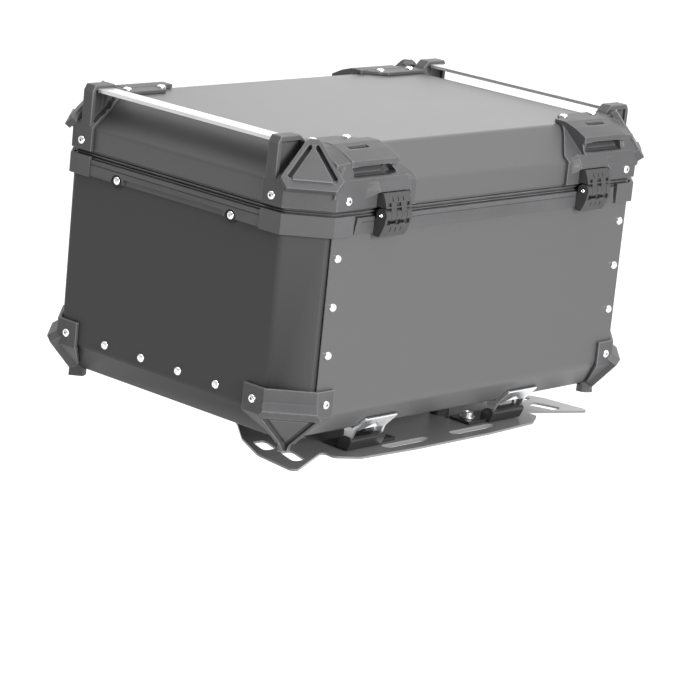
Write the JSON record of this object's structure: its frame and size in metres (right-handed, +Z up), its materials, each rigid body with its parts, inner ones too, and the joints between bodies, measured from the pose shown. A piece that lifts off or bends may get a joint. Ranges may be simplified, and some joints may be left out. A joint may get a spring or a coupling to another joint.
{
  "type": "motorcycle top case",
  "caption": "Hinged metal top case with moulded corner caps, lid rails, lid stays, a locking latch and a slotted carrier plate that it slides on to.",
  "frame": {"origin": "middle of the carrier plate's underside, where it lies on the luggage rack", "axes": "+Z up, +Y forwards on the motorcycle, to the rider and the hinge side, +X to the rider's right; the latch is at -Y"},
  "size_m": [0.5954, 0.439, 0.361],
  "materials": {
    "shell_sheet": "satin black-grey powder coat on bent aluminium sheet",
    "side_sheet": "satin black-grey powder coat on bent aluminium sheet",
    "moulded_plastic": "fine matt grain",
    "carrier_sheet": "semi-gloss black coat on aluminium plate",
    "black_steel": "semi-gloss black coat on steel",
    "bright_steel": "plain bright steel",
    "polished_rail": "polished aluminium extrusion",
    "rubber": "black rubber"
  },
  "bodies": {
    "carrier": {"base_plate": "carrier_sheet", "carrier_lock_block": "black_steel", "claw_right": "bright_steel", "claw_left": "bright_steel", "claw_bolt_right": "bright_steel", "claw_bolt_left": "bright_steel", "rest_pad_front_right": "rubber", "rest_pad_front_left": "rubber", "rest_pad_rear_right": "rubber", "rest_pad_rear_left": "rubber"},
    "carrier_lock": {"carrier_lock_knob": "bright_steel"},
    "case": {"wrap_sheet": "shell_sheet", "side_panel_right": "side_sheet", "side_panel_left": "side_sheet", "rivet_strip_front_right": "bright_steel", "rivet_strip_front_left": "bright_steel", "rivet_strip_rear_right": "bright_steel", "rivet_strip_rear_left": "bright_steel", "rivet_strip_side_right": "bright_steel", "rivet_strip_side_left": "bright_steel", "rim_front": "moulded_plastic", "rim_rear": "moulded_plastic", "rim_right": "moulded_plastic", "rim_left": "moulded_plastic", "rim_cap_front_right": "moulded_plastic", "rim_cap_front_left": "moulded_plastic", "rim_cap_rear_right": "moulded_plastic", "rim_cap_rear_left": "moulded_plastic", "seal": "rubber", "bottom_cap_front_right": "moulded_plastic", "bottom_cap_front_left": "moulded_plastic", "bottom_cap_rear_right": "moulded_plastic", "bottom_cap_rear_left": "moulded_plastic", "stay_stud_right": "bright_steel", "stay_stud_left": "bright_steel", "hinge_leaf_lower_right": "moulded_plastic", "hinge_leaf_lower_left": "moulded_plastic", "hinge_pin_right": "bright_steel", "hinge_pin_left": "bright_steel", "latch_keeper": "black_steel", "carrier_striker": "black_steel"},
    "lid": {"lid_shell": "shell_sheet", "lid_frame": "moulded_plastic", "lid_cap_front_right": "moulded_plastic", "lid_cap_front_left": "moulded_plastic", "lid_cap_rear_right": "moulded_plastic", "lid_cap_rear_left": "moulded_plastic", "rail_right": "polished_rail", "rail_left": "polished_rail", "hinge_leaf_upper_right": "moulded_plastic", "hinge_leaf_upper_left": "moulded_plastic", "stay_pivot_right": "bright_steel", "stay_pivot_left": "bright_steel", "latch_housing": "moulded_plastic", "latch_lever_pin": "bright_steel"},
    "stay_right": {"stay_arm_right": "bright_steel"},
    "stay_left": {"stay_arm_left": "bright_steel"},
    "lever": {"latch_lever": "moulded_plastic"},
    "lid_lock": {"lock_cylinder": "bright_steel"}
  },
  "joints": [
    {"name": "case_slide", "type": "slide", "parent": "carrier", "child": "case", "axis": [0, -1, 0], "range_m": [0, 0.04]},
    {"name": "lid_hinge", "type": "hinge", "parent": "case", "child": "lid", "pos_m": [0, 0.2085, 0.282], "axis": [-1, 0, 0], "range_deg": [0, 95]},
    {"name": "stay_right_pivot", "type": "hinge", "parent": "lid", "child": "stay_right", "pos_m": [0.2715, 0.09032, 0.30284], "axis": [-1, 0, 0], "range_deg": [-47.5, 0]},
    {"name": "stay_left_pivot", "type": "hinge", "parent": "lid", "child": "stay_left", "pos_m": [-0.2715, 0.09032, 0.30284], "axis": [-1, 0, 0], "range_deg": [-47.5, 0]},
    {"name": "latch_lever_pivot", "type": "hinge", "parent": "lid", "child": "lever", "pos_m": [0, -0.219, 0.304], "axis": [-1, 0, 0], "range_deg": [0, 80]},
    {"name": "lid_lock_turn", "type": "hinge", "parent": "lid", "child": "lid_lock", "pos_m": [0, -0.21, 0.261], "axis": [0, -1, 0], "range_deg": [0, 90]},
    {"name": "carrier_lock_turn", "type": "hinge", "parent": "carrier", "child": "carrier_lock", "pos_m": [0, -0.18, 0.013], "axis": [0, -1, 0], "range_deg": [0, 90]}
  ],
  "couplings": [
    {"joint": "stay_right_pivot", "follows": "lid_hinge", "ratio": -0.5},
    {"joint": "stay_left_pivot", "follows": "lid_hinge", "ratio": -0.5}
  ]
}
